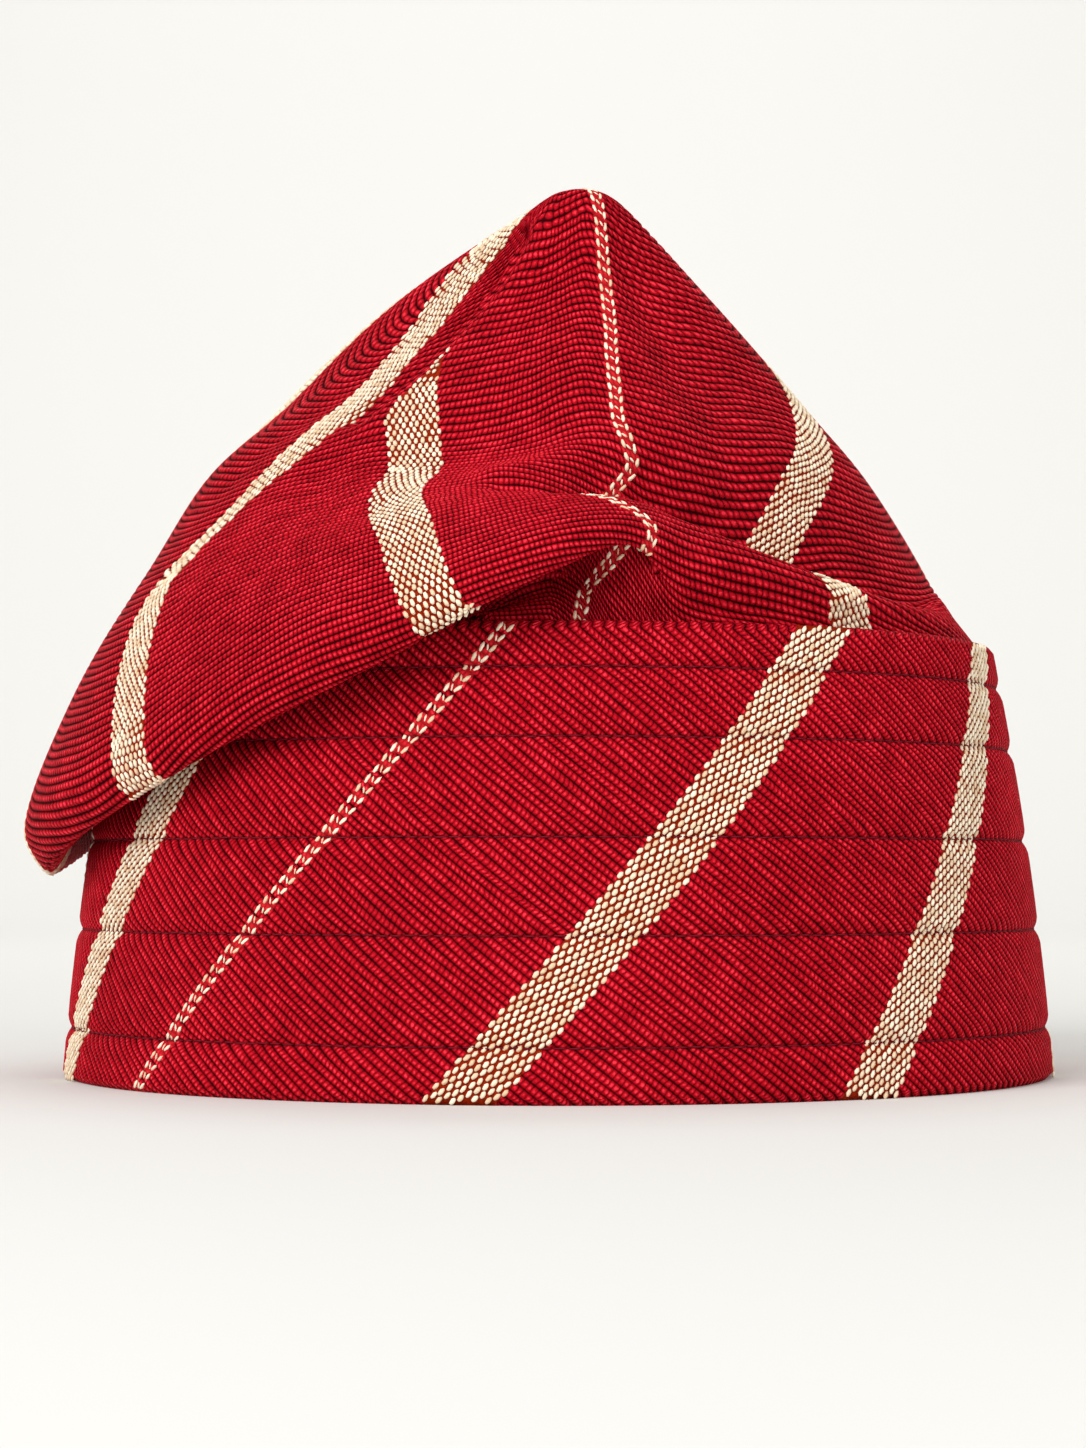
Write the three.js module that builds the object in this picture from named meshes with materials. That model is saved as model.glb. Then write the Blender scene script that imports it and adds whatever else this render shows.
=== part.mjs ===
// A fila cap: a soft peaked crown of striped hand-woven cloth that stands in a quilted band.
// The crown is pulled down on one side, so that a deep flap hangs over the band there.
// Millimetres, +Z up, the front of the cap towards -Y, the hanging flap on the -X side.
import * as THREE from "three";
import { mergeVertices } from "three/addons/utils/BufferGeometryUtils.js";

// Driving dimensions
const HEIGHT = 163; // rim to peak
const DEPTH_RATIO = 1.075; // a head is longer than it is wide, and the cap follows it
const CLOTH = 1.3; // crown cloth
const GAP = 0.3; // between the crown and the band
const STEPS_AROUND = 60;
const WELD = 1e-3; // points closer than this are one point
const FULL_TURN = 360;

// The band, with its reach as half the cap's width
const BAND = {
  height: 80,
  rimReach: 93.3,
  midReach: 88.9,
  topReach: 82.2,
  wall: 2.6,
  edgeRound: 1.2,
  hemTurn: 2.4, // the hem's turned edge stands in from the wall by this much, and is as high
  stepsInside: 4, // facets up the plain inner face
};

// The rows of quilting, each a shallow groove round the band
const QUILTING = { heights: [9.3, 27.5, 43.8, 60.5, 72.2], depth: 0.7, halfWidth: 1.3 };

// The crown's foot follows the band's inside up to this share of its height, and leaves it at the cuff.
const FOOT_TOP = 0.95;
const CUFF = { reach: 78.6, height: 81 };

// Where the crown overhangs, it turns over the band's top edge at the lip.
// Elsewhere the lip is only a point on the way up from the cuff to the hem.
const LIP = { reach: 82.2, low: 81.6, high: 84.6, startsAt: 79, fullAt: 87, wayToHem: 0.3 };

// The flap's lower edge is a round fold, with its heel on the band's side of the hem
// and its toe on the other side, part of the way up to the belly.
const FOLD = { radius: 2.6, heelWay: 0.5, toeWay: 0.4 };

// The peak leans forward of the band's centre, and each level of the crown leans its share of the way.
const PEAK_LEAN = new THREE.Vector2(4, -32);
const LEVELS = {
  brow: { height: 113, lean: 0.35 },
  face: { height: 126.5, lean: 0.55 },
  shoulder: { height: 145, lean: 0.8 },
  tip: { height: HEIGHT - 2, lean: 0.98, reach: 6.3 },
};

// One row for each upright section of the crown, by its azimuth in degrees: 0 is the front, 90 the +X side.
// Hem, belly, crest and tuck are [reach, height] up the folded roll, from its lower edge
// to the valley behind it.
// Brow, face and shoulder are the reach from the leaning axis at those levels.
const SECTIONS = [
  // azimuth, hem, belly, crest, tuck, brow, face, shoulder
  [0, [90, 88], [92, 94], [82.5, 100.5], [67.5, 103], 47, 34.3, 15.6],
  [8, [86, 92], [87.5, 96.3], [79.5, 100.5], [67, 100.5], 48.5, 35, 16.5],
  [16, [79.4, 83.4], [83, 91], [77.5, 97], [66.5, 94.5], 49.6, 35.8, 17.3],
  [35, [79, 83], [80.2, 86], [76.6, 89.4], [67, 86], 46.5, 32.8, 16.3],
  [60, [78.4, 82.4], [77.6, 84], [74.8, 85.3], [70.5, 84.4], 48, 34, 18],
  [90, [76.6, 83.2], [74.6, 86], [72.4, 90.5], [70, 95], 55.5, 41.6, 23],
  [135, [77.6, 83.5], [77, 87], [76, 91], [73.5, 97], 65.5, 53, 31],
  [180, [77.6, 83.5], [77.2, 87], [76.2, 91], [73.5, 97], 68, 58.5, 37],
  [205, [81, 82.5], [83.5, 86.5], [81.5, 91], [76, 97], 69.5, 60.5, 38],
  [215, [85.5, 77], [89.3, 82], [86, 89.5], [77.8, 96.3], 70, 61, 38],
  [228, [90, 66], [94.5, 72.5], [89, 84], [79, 95], 70.3, 61.2, 38],
  [250, [94.5, 46], [98.5, 54], [91.3, 74], [80, 93.5], 69.5, 58.8, 36],
  [275, [95.8, 37.6], [100.5, 45.5], [92, 69.8], [78.8, 92.8], 65.5, 47.5, 24.5],
  [300, [95.5, 46], [99, 54], [90, 77], [79, 94], 58.5, 39, 18.5],
  [320, [93, 58], [96, 66], [87, 85], [76, 98.5], 53, 36.5, 17.2],
  [340, [93, 71.5], [95.5, 79], [84.5, 95], [71, 103.5], 45.3, 32.3, 14.7],
];

// How many facets there are along each stretch of a section, from the foot inside the band to the peak
const STEPS_UP = [2, 2, 2, 2, 3, 2, 2, 2, 4, 3, 3, 2, 2, 2, 2];

// Both pieces are of one red cloth.
const CLOTH_FINISH = { color: 0xa3081e, roughness: 0.85, metalness: 0 };

// The band's outer face as a curve on its section: x is the reach, y the height
const bandFace = new THREE.QuadraticBezierCurve(
  new THREE.Vector2(BAND.rimReach, 0),
  new THREE.Vector2(2 * BAND.midReach - (BAND.rimReach + BAND.topReach) / 2, BAND.height / 2),
  new THREE.Vector2(BAND.topReach, BAND.height),
);

function bandReach(height) {
  return bandFace.getPoint(height / BAND.height).x;
}

// The band's section as a closed outline: up the quilted face, over the top edge, down inside
// and round the turned hem
function bandProfile() {
  const { height, wall, edgeRound, hemTurn } = BAND;
  const outside = (z, sunk = 0) => new THREE.Vector2(bandReach(z) - sunk, z);
  const rimInside = BAND.rimReach - wall - hemTurn;
  const profile = [new THREE.Vector2(BAND.rimReach - edgeRound, 0), outside(edgeRound)];
  for (const row of QUILTING.heights) {
    profile.push(outside(row - QUILTING.halfWidth));
    profile.push(outside(row, QUILTING.depth));
    profile.push(outside(row + QUILTING.halfWidth));
  }
  profile.push(outside(height - edgeRound));
  profile.push(outside(height, wall / 2));
  for (let step = BAND.stepsInside; step >= 0; step -= 1) {
    const share = step / BAND.stepsInside;
    profile.push(outside(THREE.MathUtils.lerp(hemTurn, height - edgeRound, share), wall));
  }
  profile.push(new THREE.Vector2(rimInside, hemTurn));
  profile.push(new THREE.Vector2(rimInside, 0));
  profile.push(profile[0].clone());
  return profile;
}

function makeBand() {
  const geometry = new THREE.LatheGeometry(bandProfile(), STEPS_AROUND);
  geometry.rotateX(Math.PI / 2);
  geometry.scale(1, DEPTH_RATIO, 1);
  return named("band", geometry);
}

// The section table as smooth curves that close on themselves after a full turn
const wholeTurn = [...SECTIONS, [FULL_TURN, ...SECTIONS[0].slice(1)]];
const sectionRows = wholeTurn.map((row) => row.slice(1).flat());
const sectionAt = new THREE.CubicInterpolant(
  wholeTurn.map((row) => row[0]),
  sectionRows.flat(),
  sectionRows[0].length,
);
sectionAt.settings = { endingStart: THREE.WrapAroundEnding, endingEnd: THREE.WrapAroundEnding };

// The crown's outer face at one azimuth, as a curve from the foot inside the band up to the peak
function crownSection(azimuth) {
  const turn = THREE.MathUtils.degToRad(azimuth);
  const at = (reach, height, lean = 0) =>
    new THREE.Vector3(
      lean * PEAK_LEAN.x + reach * Math.sin(turn),
      lean * PEAK_LEAN.y - DEPTH_RATIO * reach * Math.cos(turn),
      height,
    );
  const inBand = (height) => at(bandReach(height) - BAND.wall - GAP, height);
  const [hemReach, hemHeight, bellyReach, bellyHeight, ...above] = sectionAt.evaluate(azimuth);
  const [crestReach, crestHeight, tuckReach, tuckHeight, brow, face, shoulder] = above;
  const overhang = THREE.MathUtils.smoothstep(hemReach, LIP.startsAt, LIP.fullAt);
  const hem = at(hemReach, hemHeight);
  const cuff = at(CUFF.reach, CUFF.height);
  const lipHeight = THREE.MathUtils.clamp(hemHeight, LIP.low, LIP.high);
  const lip = cuff.clone().lerp(hem, LIP.wayToHem).lerp(at(LIP.reach, lipHeight), overhang);
  const belly = at(bellyReach, bellyHeight);
  const heel = at(hemReach - FOLD.radius, hemHeight + FOLD.radius);
  const toe = at(hemReach + FOLD.radius, hemHeight + FOLD.radius);
  const { tip } = LEVELS;
  const points = [
    inBand(BAND.hemTurn + GAP),
    inBand(BAND.height / 2),
    inBand(BAND.height * FOOT_TOP),
    cuff,
    lip,
    lip.clone().lerp(hem, FOLD.heelWay).lerp(heel, overhang),
    hem,
    hem.clone().lerp(belly, FOLD.toeWay).lerp(toe, overhang),
    belly,
    at(crestReach, crestHeight),
    at(tuckReach, tuckHeight),
    at(brow, LEVELS.brow.height, LEVELS.brow.lean),
    at(face, LEVELS.face.height, LEVELS.face.lean),
    at(shoulder, LEVELS.shoulder.height, LEVELS.shoulder.lean),
    at(tip.reach, tip.height, tip.lean),
    at(0, HEIGHT, 1),
  ];
  return smoothCurve(points);
}

// The crown's inner face at one azimuth: the same curve, with its points set in by the cloth's thickness
function liningSection(before, section, after) {
  const last = section.points.length - 1;
  const points = section.points.map((point, k) => {
    if (k === last) return point.clone().setZ(HEIGHT - CLOTH);
    const around = after.points[k].clone().sub(before.points[k]);
    const outward = around.cross(section.getTangent(k / last)).normalize();
    return point.clone().addScaledVector(outward, -CLOTH);
  });
  return smoothCurve(points);
}

function smoothCurve(points) {
  return new THREE.CatmullRomCurve3(points, false, "centripetal");
}

// The crown as a bag: a sphere whose upper half is the outer face and whose lower half is pushed up inside it
function makeCrown() {
  const turns = Array.from({ length: STEPS_AROUND }, (_, i) => i);
  const outer = turns.map((i) => crownSection((i * FULL_TURN) / STEPS_AROUND));
  const inner = turns.map((i) => liningSection(outer.at(i - 1), outer[i], outer[(i + 1) % STEPS_AROUND]));
  const stations = [1];
  for (let span = STEPS_UP.length - 1; span >= 0; span -= 1) {
    const steps = STEPS_UP[span];
    for (let step = steps - 1; step >= 0; step -= 1) {
      stations.push((span + step / steps) / STEPS_UP.length);
    }
  }
  const rows = 2 * stations.length - 1;
  const geometry = new THREE.SphereGeometry(1, STEPS_AROUND, rows);
  const position = geometry.getAttribute("position");
  const perRow = STEPS_AROUND + 1;
  stations.forEach((station, row) => {
    for (let i = 0; i < perRow; i += 1) {
      const turn = i % STEPS_AROUND;
      position.setXYZ(row * perRow + i, ...outer[turn].getPoint(station));
      position.setXYZ((rows - row) * perRow + i, ...inner[turn].getPoint(station));
    }
  });
  return named("crown", geometry);
}

function named(name, geometry) {
  geometry.deleteAttribute("normal");
  geometry.deleteAttribute("uv");
  const closed = mergeVertices(geometry, WELD);
  closed.computeVertexNormals();
  const mesh = new THREE.Mesh(closed, new THREE.MeshStandardMaterial(CLOTH_FINISH));
  mesh.name = name;
  return mesh;
}

// The cap stands with the middle of its outline over the origin.
const cap = new THREE.Group();
cap.add(makeBand(), makeCrown());
const middle = new THREE.Box3().setFromObject(cap).getCenter(new THREE.Vector3());
cap.position.set(-middle.x, -middle.y, 0);

const fila = new THREE.Group();
fila.add(cap);

export default fila;
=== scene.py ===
# Dresses the fila cap: ribbed red cloth, cream yarn stripes and rows of quilting
import math
import bmesh
import bpy
import numpy as np
from mathutils import Matrix, Vector
from mathutils.kdtree import KDTree


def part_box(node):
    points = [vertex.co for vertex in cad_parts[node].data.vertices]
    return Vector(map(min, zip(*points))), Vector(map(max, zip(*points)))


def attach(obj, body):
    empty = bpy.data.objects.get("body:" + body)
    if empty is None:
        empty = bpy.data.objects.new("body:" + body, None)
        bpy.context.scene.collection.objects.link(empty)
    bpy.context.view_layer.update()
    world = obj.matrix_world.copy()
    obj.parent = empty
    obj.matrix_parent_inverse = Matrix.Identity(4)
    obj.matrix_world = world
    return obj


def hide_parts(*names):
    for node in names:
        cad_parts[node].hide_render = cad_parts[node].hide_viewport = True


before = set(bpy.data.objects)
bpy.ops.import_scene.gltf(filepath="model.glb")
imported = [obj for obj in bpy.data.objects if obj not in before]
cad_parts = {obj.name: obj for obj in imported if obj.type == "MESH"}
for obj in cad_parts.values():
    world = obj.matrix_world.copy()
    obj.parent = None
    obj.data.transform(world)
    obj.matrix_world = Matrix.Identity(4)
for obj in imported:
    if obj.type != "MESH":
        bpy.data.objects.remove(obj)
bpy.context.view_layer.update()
mm = 0.001
halfTurn = 180
fullTurn = 360
farAway = 1e3  # mm, where no stripe, fold or seam is near
tiny = 1e-9  # keeps a length above nothing
bandLow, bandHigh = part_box("band")
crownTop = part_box("crown")[1].z
ringAxis = (bandLow + bandHigh) / 2  # the band's centre line, which every azimuth turns about
ringAxis.z = 0


# Camera: where the photograph was taken from, in mm from the ring axis, and its horizon below the middle
lens = dict(back=680, aside=-2.86, up=37.5, focalPx=3562, framePx=1448, sensor=36, horizonPx=151)


def makeCamera():
    data = bpy.data.cameras.new("camera")
    data.sensor_width = lens["sensor"]
    data.lens = lens["sensor"] * lens["focalPx"] / lens["framePx"]
    camera = bpy.data.objects.new("camera", data)
    camera.location = ringAxis + Vector((lens["aside"], -lens["back"], lens["up"])) * mm
    tilt = math.atan(lens["horizonPx"] / lens["focalPx"])
    camera.rotation_euler = (math.pi / 2 + tilt, 0, 0)
    bpy.context.scene.collection.objects.link(camera)
    bpy.context.scene.camera = camera
    print("camera", round(data.lens, 1), "mm lens")


# Light: a pale room, a large soft box on the upper left, a weak one on the right and one for the wall
lamps = [
    dict(name="key", at=(-0.75, -1.15, 0.8), aim=(0, 0, 0.07), size=0.8, power=17),
    dict(name="fill", at=(1.0, -1.0, 0.4), aim=(0, 0, 0.07), size=1.0, power=5),
    dict(name="wall", at=(0, 0.9, 1.9), aim=(0, 2.4, 0.7), size=1.4, power=21),
]
room = dict(colour=(1.0, 0.99, 0.965), strength=0.66)


def makeLights():
    for lamp in lamps:
        data = bpy.data.lights.new(lamp["name"], "AREA")
        data.size = lamp["size"]
        data.energy = lamp["power"]
        light = bpy.data.objects.new(lamp["name"], data)
        light.location = lamp["at"]
        aim = Vector(lamp["aim"]) - light.location
        light.rotation_euler = aim.to_track_quat("-Z", "Y").to_euler()
        bpy.context.scene.collection.objects.link(light)
    world = bpy.data.worlds.new("room")
    world.use_nodes = True
    sky = world.node_tree.nodes["Background"]
    sky.inputs["Color"].default_value = (*room["colour"], 1)
    sky.inputs["Strength"].default_value = room["strength"]
    bpy.context.scene.world = world
    bpy.context.scene.view_settings.view_transform = "Standard"
    print("lights", len(lamps), "lamps")


# Floor: a pale sweep that curves up behind the cap
sweep = dict(
    half=9.0,
    behind=1.6,
    curve=0.8,
    rise=3.0,
    steps=16,
    colour=(0.765, 0.76, 0.74),
    roughness=0.9,
    specular=0.1,
)


def makeFloor():
    corner = bmesh.types.BMVert
    line = bmesh.types.BMEdge
    bm = bmesh.new()
    start = [bm.verts.new((x, -sweep["half"], 0)) for x in (-sweep["half"], sweep["half"])]
    edge = bm.edges.new(start)
    flat = bmesh.ops.extrude_edge_only(bm, edges=[edge])["geom"]
    bmesh.ops.translate(bm, verts=onlyKinds(flat, corner), vec=(0, sweep["half"] + sweep["behind"], 0))
    bend = bmesh.ops.spin(
        bm,
        geom=onlyKinds(flat, corner, line),
        cent=(0, sweep["behind"], sweep["curve"]),
        axis=(1, 0, 0),
        angle=math.pi / 2,
        steps=sweep["steps"],
    )["geom_last"]
    wall = bmesh.ops.extrude_edge_only(bm, edges=onlyKinds(bend, line))["geom"]
    bmesh.ops.translate(bm, verts=onlyKinds(wall, corner), vec=(0, 0, sweep["rise"]))
    floor = finishMesh("floor", bm, [floorPaint()])


def onlyKinds(geom, *kinds):
    return [part for part in geom if isinstance(part, kinds)]


def floorPaint():
    material, tree, shader = newMaterial("pale_floor")
    shader.inputs["Base Color"].default_value = (*sweep["colour"], 1)
    shader.inputs["Roughness"].default_value = sweep["roughness"]
    shader.inputs["Specular IOR Level"].default_value = sweep["specular"]
    return material


# Makes an object from a bmesh, smooth all over, with its place in its mesh
def finishMesh(name, bm, materials):
    for face in bm.faces:
        face.smooth = True
    mesh = bpy.data.meshes.new(name)
    bm.to_mesh(mesh)
    bm.free()
    for material in materials:
        mesh.materials.append(material)
    made = bpy.data.objects.new(name, mesh)
    bpy.context.scene.collection.objects.link(made)
    print(name, len(mesh.vertices), "points,", len(mesh.polygons), "faces")
    return made


# Node helpers: a value is a socket or a plain number
mixSockets = dict(first=6, second=7, result=2)  # a Mix node's sockets for colours
fibreDetail = 3.0  # layers of noise


def newMaterial(name):
    material = bpy.data.materials.new(name)
    material.use_nodes = True
    tree = material.node_tree
    return material, tree, tree.nodes["Principled BSDF"]


def plug(tree, socket, value):
    if isinstance(value, bpy.types.NodeSocket):
        tree.links.new(value, socket)
    else:
        socket.default_value = value


def sums(tree, operation, *values):
    node = tree.nodes.new("ShaderNodeMath")
    node.operation = operation
    for socket, value in zip(node.inputs, values):
        plug(tree, socket, value)
    return node.outputs[0]


def span(tree, value, fromLow, fromHigh, toLow=0.0, toHigh=1.0):
    node = tree.nodes.new("ShaderNodeMapRange")
    node.interpolation_type = "SMOOTHSTEP"
    for socket, given in zip(node.inputs, (value, fromLow, fromHigh, toLow, toHigh)):
        plug(tree, socket, given)
    return node.outputs[0]


def blendColours(tree, share, first, second):
    node = tree.nodes.new("ShaderNodeMix")
    node.data_type = "RGBA"
    plug(tree, node.inputs["Factor"], share)
    for side, colour in (("first", first), ("second", second)):
        given = (*colour, 1) if isinstance(colour, tuple) else colour
        plug(tree, node.inputs[mixSockets[side]], given)
    return node.outputs[mixSockets["result"]]


def noiseAt(tree, vector, scale, detail=2.0):
    node = tree.nodes.new("ShaderNodeTexNoise")
    node.inputs["Scale"].default_value = scale
    node.inputs["Detail"].default_value = detail
    tree.links.new(vector, node.inputs["Vector"])
    return node.outputs[0]


def attributeAt(tree, name):
    node = tree.nodes.new("ShaderNodeAttribute")
    node.attribute_name = name
    return node.outputs["Fac"]


def objectPlace(tree):
    return tree.nodes.new("ShaderNodeTexCoord").outputs["Object"]


def addBump(tree, shader, height, depth):
    bump = tree.nodes.new("ShaderNodeBump")
    bump.inputs["Strength"].default_value = 1.0
    bump.inputs["Distance"].default_value = depth * mm
    tree.links.new(height, bump.inputs["Height"])
    tree.links.new(bump.outputs[0], shader.inputs["Normal"])


# The red cloth. Its UV map holds mm along a rib, and ribs counted across the cloth. Sizes are in mm.
cloth = dict(
    ribPitch=1.3,
    ribRise=0.34,
    ribRound=0.7,  # under 1, a rib is round and the hollow beside it is narrow
    beadPitch=0.92,
    beadRound=0.55,
    beadShare=0.7,  # of a rib's height
    beadStray=dict(scale=330.0, beads=1.1),
    # Painted shade: from the crest colour on the ribs' tops the cloth darkens to the hollow colour in the
    # hollows between ribs and beads
    crest=(0.45, 0.003, 0.011),
    crestAt=0.85,
    hollowShade=(0.036, 0.0003, 0.0015),
    # a painted highlight on the tops of the beads
    glint=(1.0, 0.04, 0.07),
    glintFrom=0.8,
    glintTo=1.15,
    scarlet=(0.62, 0.018, 0.024),  # beside a chain of cream yarn
    scarletShare=0.6,
    rust=(0.28, 0.016, 0.002),  # under a stripe of cream yarn
    stripeHalf=4.5,
    ribsBack=0.8,  # how far beside a stripe the ribs reach their full height
    stripeFade=(4.3, 4.8),  # where the colour of a stripe's ground starts and ends to fade
    chainFade=(1.0, 1.6),
    # where the painted shade along a row of quilting fades out
    seamFade=(0.0, 0.45),
    fibre=dict(scale=2600.0, shade=0.5, height=0.25),
    patch=dict(scale=38.0, shade=0.25),
    slub=dict(scale=(0.22, 0.85, 0.0), shade=0.45),  # a thread's thickness, along and across the ribs
    bumpDepth=0.32,
    roughness=(0.9, 0.55),  # in the hollows and on the crests
    specular=0.03,
)


# Half a sine wave for each whole count
def humps(tree, count):
    share = sums(tree, "FRACT", count)
    return sums(tree, "SINE", sums(tree, "MULTIPLY", share, math.pi))


# Height of the weave from 0 to 1: ribs, with beads along each
def beadedRibs(tree, weave, place, twist):
    parts = tree.nodes.new("ShaderNodeSeparateXYZ")
    tree.links.new(weave, parts.inputs[0])
    along, across = parts.outputs[0], parts.outputs[1]
    rib = sums(tree, "POWER", humps(tree, across), cloth["ribRound"])
    lean = sums(tree, "MULTIPLY", across, twist)
    stray = noiseAt(tree, place, cloth["beadStray"]["scale"])
    stray = sums(tree, "MULTIPLY", stray, cloth["beadStray"]["beads"])
    count = sums(tree, "ADD", sums(tree, "DIVIDE", along, cloth["beadPitch"]), lean)
    count = sums(tree, "ADD", count, stray)
    bead = sums(tree, "POWER", humps(tree, count), cloth["beadRound"])
    bead = sums(tree, "MULTIPLY", bead, cloth["beadShare"])
    bead = sums(tree, "ADD", bead, 1 - cloth["beadShare"])
    return sums(tree, "MULTIPLY", rib, bead)


# How a noise lightens and darkens the cloth
def uneven(tree, noise, shade):
    return sums(tree, "MULTIPLY", sums(tree, "SUBTRACT", noise, 0.5), shade)


# A share that fades with the distance from a stripe, a chain or a seam
def fadeFrom(tree, field, share):
    return span(tree, attributeAt(tree, field), *cloth[field + "Fade"], share, 0.0)


def redCloth(name, piece):
    material, tree, shader = newMaterial(name)
    uv = tree.nodes.new("ShaderNodeUVMap")
    uv.uv_map = "weave"
    place = objectPlace(tree)
    raised = beadedRibs(tree, uv.outputs[0], place, piece["twist"])
    fibre = noiseAt(tree, place, cloth["fibre"]["scale"], fibreDetail)
    patch = noiseAt(tree, place, cloth["patch"]["scale"], fibreDetail)
    stretch = tree.nodes.new("ShaderNodeVectorMath")
    stretch.operation = "MULTIPLY"
    stretch.inputs[1].default_value = cloth["slub"]["scale"]
    tree.links.new(uv.outputs[0], stretch.inputs[0])
    slub = noiseAt(tree, stretch.outputs[0], scale=1.0, detail=1.0)

    shade = raised
    for noise, kind in ((fibre, "fibre"), (patch, "patch"), (slub, "slub")):
        shade = sums(tree, "ADD", shade, uneven(tree, noise, cloth[kind]["shade"]))
    # painted shade: dark in the hollows between ribs and beads, the crest colour on their tops
    crest = span(tree, shade, piece["hollowShadeFrom"], cloth["crestAt"])
    red = blendColours(tree, crest, cloth["hollowShade"], cloth["crest"])
    # painted highlight on the beads' tops
    glint = span(tree, shade, cloth["glintFrom"], cloth["glintTo"])
    red = blendColours(tree, glint, red, cloth["glint"])
    red = blendColours(tree, fadeFrom(tree, "chain", cloth["scarletShare"]), red, cloth["scarlet"])
    # painted shade along each row of quilting
    if piece["seamShade"] > 0:
        red = blendColours(tree, fadeFrom(tree, "seam", piece["seamShade"]), red, cloth["hollowShade"])
    red = blendColours(tree, fadeFrom(tree, "stripe", 1.0), red, cloth["rust"])
    tree.links.new(red, shader.inputs["Base Color"])

    height = sums(tree, "ADD", raised, sums(tree, "MULTIPLY", fibre, cloth["fibre"]["height"]))
    addBump(tree, shader, height, cloth["bumpDepth"])
    tree.links.new(span(tree, raised, 0.0, 1.0, *cloth["roughness"]), shader.inputs["Roughness"])
    shader.inputs["Specular IOR Level"].default_value = cloth["specular"]
    return material


# The cream yarn of the stripes, laid as ovals, and the thread of the quilting. Sizes are in mm.
yarn = dict(
    light=(0.97, 0.87, 0.67),
    dark=(0.67, 0.41, 0.2),
    darkTo=0.25,
    lightFrom=1.1,
    fibre=dict(scale=3200.0, shade=0.5),
    bumpDepth=0.08,
    roughness=0.65,
    sheen=0.1,
    alongPitch=2.7,
    acrossPitch=0.61,
    size=(0.82, 0.44, 0.3),  # half sizes along, across and out of the cloth
    columns=16,
    chainPitch=2.3,
    stray=0.05,
    leanStray=4,  # degrees
    sizeRange=(0.92, 1.08),
    tintRange=(0.3, 0.8),
)
# The chain's three columns: mm aside, half sizes, degrees of lean, and where in a step each starts
chainColumns = [
    dict(aside=-0.88, size=(1.02, 0.37, 0.34), lean=9, start=0.0),
    dict(aside=0.88, size=(1.02, 0.37, 0.34), lean=-9, start=0.5),
    dict(aside=0.0, size=(0.72, 0.2, 0.26), lean=34, start=0.25),
]
thread = dict(
    pitch=2.6,
    size=(1.36, 0.19, 0.17),
    lift=0.14,
    stray=0.06,
    lookAhead=0.5,  # degrees, to find the way that a stitch runs
    seed=5,
    colour=(0.1, 0.003, 0.007),
    lighter=2.2,  # times the colour, on the fibres
    fibreScale=3000.0,
    tint=0.5,
    roughness=0.7,
    specular=0.1,
)


def creamYarn():
    material, tree, shader = newMaterial("cream_yarn")
    fibre = noiseAt(tree, objectPlace(tree), yarn["fibre"]["scale"], fibreDetail)
    tint = sums(tree, "MULTIPLY", fibre, yarn["fibre"]["shade"])
    tint = sums(tree, "ADD", attributeAt(tree, "tint"), tint)
    light = span(tree, tint, yarn["darkTo"], yarn["lightFrom"])
    tree.links.new(blendColours(tree, light, yarn["dark"], yarn["light"]), shader.inputs["Base Color"])
    addBump(tree, shader, fibre, yarn["bumpDepth"])
    shader.inputs["Roughness"].default_value = yarn["roughness"]
    shader.inputs["Sheen Weight"].default_value = yarn["sheen"]
    return material


def seamThread():
    material, tree, shader = newMaterial("seam_thread")
    fibre = noiseAt(tree, objectPlace(tree), thread["fibreScale"], fibreDetail)
    lighter = tuple(thread["lighter"] * c for c in thread["colour"])
    tree.links.new(blendColours(tree, fibre, thread["colour"], lighter), shader.inputs["Base Color"])
    shader.inputs["Roughness"].default_value = thread["roughness"]
    shader.inputs["Specular IOR Level"].default_value = thread["specular"]
    return material


# A wide stripe's columns: every second one starts half a step later
def wideColumns():
    middle = (yarn["columns"] - 1) / 2
    return [
        dict(aside=(k - middle) * yarn["acrossPitch"], size=yarn["size"], lean=0, start=0.5 * (k % 2))
        for k in range(yarn["columns"])
    ]


# Spots along one stripe, column by column; spotAt gives a place, the way along and the way out, or None
def stripeSpots(length, columns, pitch, spotAt, rng):
    spots = []
    for column in columns:
        for step in range(int(length / pitch) + 1):
            way = (step + column["start"]) * pitch + rng.normal(0, yarn["stray"])
            found = spotAt(way, column["aside"] + rng.normal(0, yarn["stray"]))
            if found is None:
                continue
            at, along, out = (Vector(v) for v in found)
            lean = math.radians(column["lean"] + rng.normal(0, yarn["leanStray"]))
            along = along.normalized()
            out = out.normalized()
            along = along * math.cos(lean) + out.cross(along) * math.sin(lean)
            size = [s * rng.uniform(*yarn["sizeRange"]) for s in column["size"]]
            tint = rng.uniform(*yarn["tintRange"])
            spots.append(dict(at=at * mm + ringAxis, along=along, out=out, size=size, tint=tint))
    return spots


# Yarn on all the stripes of a cloth; lineOf gives a stripe's length and its spotAt
def layStripes(name, stripes, lineOf, *shape):
    rng = np.random.default_rng(stripes["seed"])
    kinds = (("wide", wideColumns(), yarn["alongPitch"]), ("chain", chainColumns, yarn["chainPitch"]))
    spots = []
    for kind, columns, pitch in kinds:
        for stripe in stripes[kind]:
            length, spotAt = lineOf(stripe, *shape)
            spots += stripeSpots(length, columns, pitch, spotAt, rng)
    return layOvals(name, spots, creamYarn())


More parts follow.
